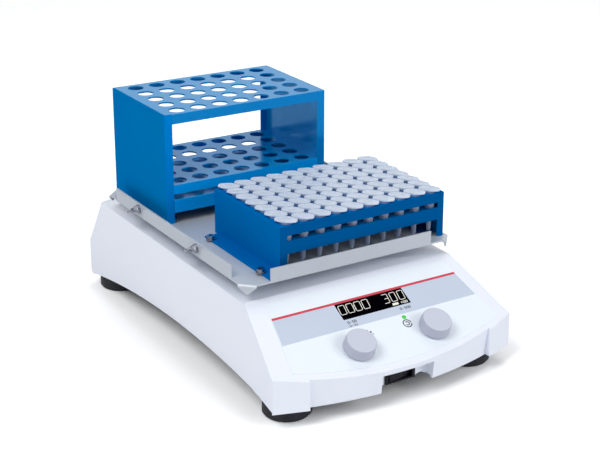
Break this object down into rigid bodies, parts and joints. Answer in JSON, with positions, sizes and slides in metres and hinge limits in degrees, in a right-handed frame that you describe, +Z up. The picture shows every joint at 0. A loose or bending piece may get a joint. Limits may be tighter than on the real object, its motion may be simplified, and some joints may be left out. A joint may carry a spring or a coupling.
{
  "type": "orbital shaker with tube racks",
  "caption": "Bench orbital shaker with a digital control panel, a flanged metal platform, a tall tube rack and a low rack of small closed tubes.",
  "frame": {"origin": "on the bench, under the middle of the overall box", "axes": "+X to the right, +Y to the back, +Z up; the control panel faces -Y"},
  "size_m": [0.258, 0.408, 0.215],
  "materials": {
    "white_shell": "gloss",
    "panel_film": "satin",
    "display_glass": "gloss",
    "led_green": "gloss",
    "black_plastic": "satin",
    "rubber": "matte",
    "steel": "satin",
    "pan_paint": "satin",
    "cast_grey": "satin",
    "belt_rubber": "matte",
    "circuit_green": "satin",
    "tray_metal": "satin",
    "fastener_chrome": "gloss",
    "rack_blue": "gloss",
    "tube_plastic": "gloss",
    "cap_plastic": "satin",
    "knob_grey": "satin",
    "brass": "satin"
  },
  "bodies": {
    "base": {"upper_housing": "white_shell", "base_pan": "pan_paint", "rubber_feet": "rubber", "foot_screws": "steel", "panel_overlay": "panel_film", "display_window": "display_glass", "status_led": "led_green", "switch_frame": "black_plastic", "power_inlet": "black_plastic", "deck_plate": "steel", "deck_screws": "steel", "bearing_housing": "cast_grey", "main_bearings": "steel", "idler_bearings": "steel", "motor_body": "pan_paint", "drive_belt": "belt_rubber", "control_board": "circuit_green", "encoder_bodies": "black_plastic", "power_supply": "circuit_green"},
    "motor_rotor": {"motor_pulley": "steel"},
    "drive_crank": {"crank_shaft": "steel", "drive_pulley": "cast_grey"},
    "idler_1": {"idler_crank_1": "steel"},
    "idler_2": {"idler_crank_2": "steel"},
    "idler_3": {"idler_crank_3": "steel"},
    "platform": {"carriage_plate": "cast_grey", "platform_bearings": "steel", "tray": "tray_metal", "tray_screws": "steel", "flange_fasteners": "fastener_chrome", "tall_left_end": "rack_blue", "tall_right_end": "rack_blue", "tall_top_plate": "rack_blue", "tall_middle_shelf": "rack_blue", "tall_bottom_shelf": "rack_blue", "low_left_end": "rack_blue", "low_right_end": "rack_blue", "low_top_plate": "rack_blue", "low_middle_plate": "rack_blue", "rack_screws": "fastener_chrome"},
    "timer_spindle": {"timer_rotor": "brass"},
    "speed_spindle": {"speed_rotor": "brass"},
    "timer_control": {"timer_knob": "knob_grey"},
    "speed_control": {"speed_knob": "knob_grey"},
    "rocker": {"power_rocker": "black_plastic"},
    "tubes_1": {"tube_row_1": "tube_plastic"},
    "caps_1": {"cap_row_1": "cap_plastic"},
    "tubes_2": {"tube_row_2": "tube_plastic"},
    "caps_2": {"cap_row_2": "cap_plastic"},
    "tubes_3": {"tube_row_3": "tube_plastic"},
    "caps_3": {"cap_row_3": "cap_plastic"},
    "tubes_4": {"tube_row_4": "tube_plastic"},
    "caps_4": {"cap_row_4": "cap_plastic"},
    "tubes_5": {"tube_row_5": "tube_plastic"},
    "caps_5": {"cap_row_5": "cap_plastic"},
    "tubes_6": {"tube_row_6": "tube_plastic"},
    "caps_6": {"cap_row_6": "cap_plastic"},
    "tubes_7": {"tube_row_7": "tube_plastic"},
    "caps_7": {"cap_row_7": "cap_plastic"}
  },
  "joints": [
    {"name": "drive_spin", "type": "hinge", "parent": "base", "child": "drive_crank", "pos_m": [0, 0.0362, 0.06], "axis": [0, 0, 1], "continuous": true},
    {"name": "tray_counter_spin", "type": "hinge", "parent": "drive_crank", "child": "platform", "pos_m": [0.0075, 0.0362, 0.094], "axis": [0, 0, 1], "continuous": true},
    {"name": "motor_spin", "type": "hinge", "parent": "base", "child": "motor_rotor", "pos_m": [0, 0.13, 0.06], "axis": [0, 0, 1], "continuous": true},
    {"name": "idler_spin_1", "type": "hinge", "parent": "base", "child": "idler_1", "pos_m": [-0.08, 0.1142, 0.056], "axis": [0, 0, 1], "continuous": true},
    {"name": "idler_spin_2", "type": "hinge", "parent": "base", "child": "idler_2", "pos_m": [0.08, 0.1142, 0.056], "axis": [0, 0, 1], "continuous": true},
    {"name": "idler_spin_3", "type": "hinge", "parent": "base", "child": "idler_3", "pos_m": [0, -0.0598, 0.056], "axis": [0, 0, 1], "continuous": true},
    {"name": "timer_turn", "type": "hinge", "parent": "base", "child": "timer_spindle", "pos_m": [-0.0378, -0.17679, 0.05214], "axis": [0, -0.4504, 0.8928], "continuous": true},
    {"name": "timer_press", "type": "slide", "parent": "timer_spindle", "child": "timer_control", "axis": [0, 0.4504, -0.8928], "range_m": [0, 0.0008], "stiffness_N_per_m": 900, "springref_m": -0.001},
    {"name": "speed_turn", "type": "hinge", "parent": "base", "child": "speed_spindle", "pos_m": [0.0444, -0.17679, 0.05214], "axis": [0, -0.4504, 0.8928], "continuous": true},
    {"name": "speed_press", "type": "slide", "parent": "speed_spindle", "child": "speed_control", "axis": [0, 0.4504, -0.8928], "range_m": [0, 0.0008], "stiffness_N_per_m": 900, "springref_m": -0.001},
    {"name": "power_rock", "type": "hinge", "parent": "base", "child": "rocker", "pos_m": [-0.0025, -0.1865, 0.0234], "axis": [0, 0, -1], "range_deg": [0, 16]},
    {"name": "tube_lift_1", "type": "slide", "parent": "platform", "child": "tubes_1", "axis": [0, 0, 1], "range_m": [0, 0.045]},
    {"name": "cap_lift_1", "type": "slide", "parent": "tubes_1", "child": "caps_1", "axis": [0, 0, 1], "range_m": [0, 0.012]},
    {"name": "tube_lift_2", "type": "slide", "parent": "platform", "child": "tubes_2", "axis": [0, 0, 1], "range_m": [0, 0.045]},
    {"name": "cap_lift_2", "type": "slide", "parent": "tubes_2", "child": "caps_2", "axis": [0, 0, 1], "range_m": [0, 0.012]},
    {"name": "tube_lift_3", "type": "slide", "parent": "platform", "child": "tubes_3", "axis": [0, 0, 1], "range_m": [0, 0.045]},
    {"name": "cap_lift_3", "type": "slide", "parent": "tubes_3", "child": "caps_3", "axis": [0, 0, 1], "range_m": [0, 0.012]},
    {"name": "tube_lift_4", "type": "slide", "parent": "platform", "child": "tubes_4", "axis": [0, 0, 1], "range_m": [0, 0.045]},
    {"name": "cap_lift_4", "type": "slide", "parent": "tubes_4", "child": "caps_4", "axis": [0, 0, 1], "range_m": [0, 0.012]},
    {"name": "tube_lift_5", "type": "slide", "parent": "platform", "child": "tubes_5", "axis": [0, 0, 1], "range_m": [0, 0.045]},
    {"name": "cap_lift_5", "type": "slide", "parent": "tubes_5", "child": "caps_5", "axis": [0, 0, 1], "range_m": [0, 0.012]},
    {"name": "tube_lift_6", "type": "slide", "parent": "platform", "child": "tubes_6", "axis": [0, 0, 1], "range_m": [0, 0.045]},
    {"name": "cap_lift_6", "type": "slide", "parent": "tubes_6", "child": "caps_6", "axis": [0, 0, 1], "range_m": [0, 0.012]},
    {"name": "tube_lift_7", "type": "slide", "parent": "platform", "child": "tubes_7", "axis": [0, 0, 1], "range_m": [0, 0.045]},
    {"name": "cap_lift_7", "type": "slide", "parent": "tubes_7", "child": "caps_7", "axis": [0, 0, 1], "range_m": [0, 0.012]}
  ],
  "couplings": [
    {"joint": "tray_counter_spin", "follows": "drive_spin", "ratio": -1},
    {"joint": "motor_spin", "follows": "drive_spin", "ratio": 3},
    {"joint": "idler_spin_1", "follows": "drive_spin", "ratio": 1},
    {"joint": "idler_spin_2", "follows": "drive_spin", "ratio": 1},
    {"joint": "idler_spin_3", "follows": "drive_spin", "ratio": 1}
  ]
}
